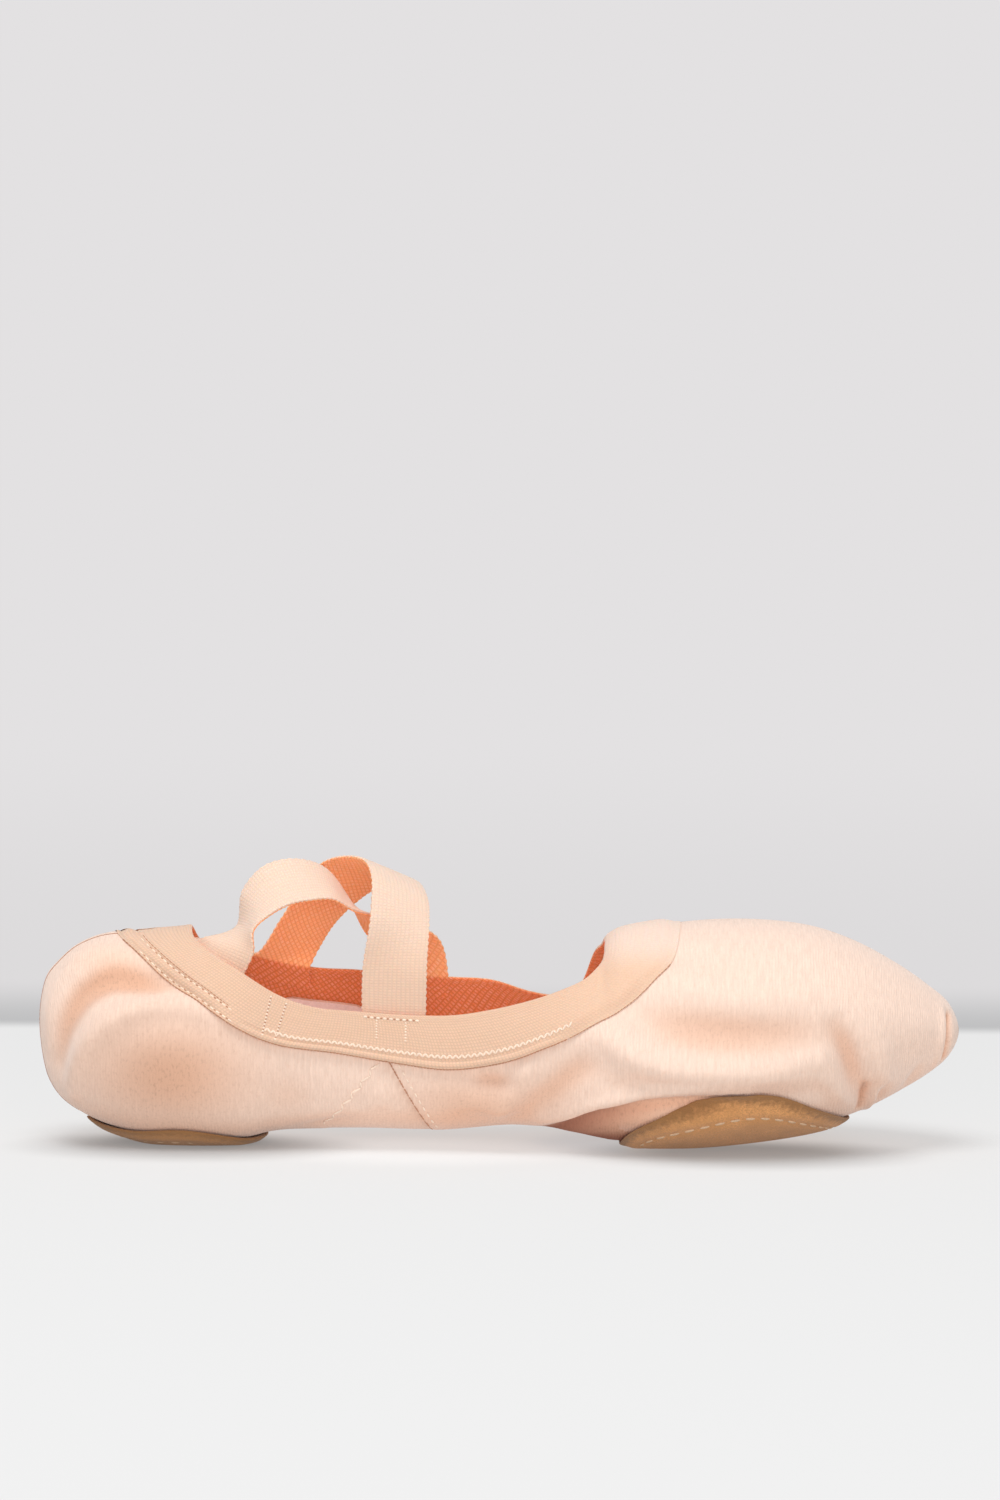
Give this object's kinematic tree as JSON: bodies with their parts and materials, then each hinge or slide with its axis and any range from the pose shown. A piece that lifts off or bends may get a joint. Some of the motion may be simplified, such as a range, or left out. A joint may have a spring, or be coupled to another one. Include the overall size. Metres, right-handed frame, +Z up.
{
  "type": "canvas ballet shoe",
  "caption": "Soft split-sole ballet slipper of stretch canvas with an elastic collar, crossed elastic instep straps and suede patches under heel and ball.",
  "frame": {"origin": "on the floor, under the middle of the shoe's length and width", "axes": "+X from heel to toe, +Z up, -Y the side that the picture shows"},
  "size_m": [0.23, 0.0688, 0.0719],
  "materials": {
    "canvas": "pale peach stretch canvas, matt, fine upright ribs",
    "elastic": "pale peach woven elastic, matt with a soft sheen",
    "suede": "tan split suede with a short nap",
    "lining": "plain cotton sock lining"
  },
  "bodies": {
    "root": {"upper_canvas": "canvas", "elastic_collar": "elastic", "strap_front": "elastic", "strap_rear": "elastic", "sole_heel_patch": "suede", "sole_ball_patch": "suede", "insole_sock": "lining"}
  },
  "joints": []
}
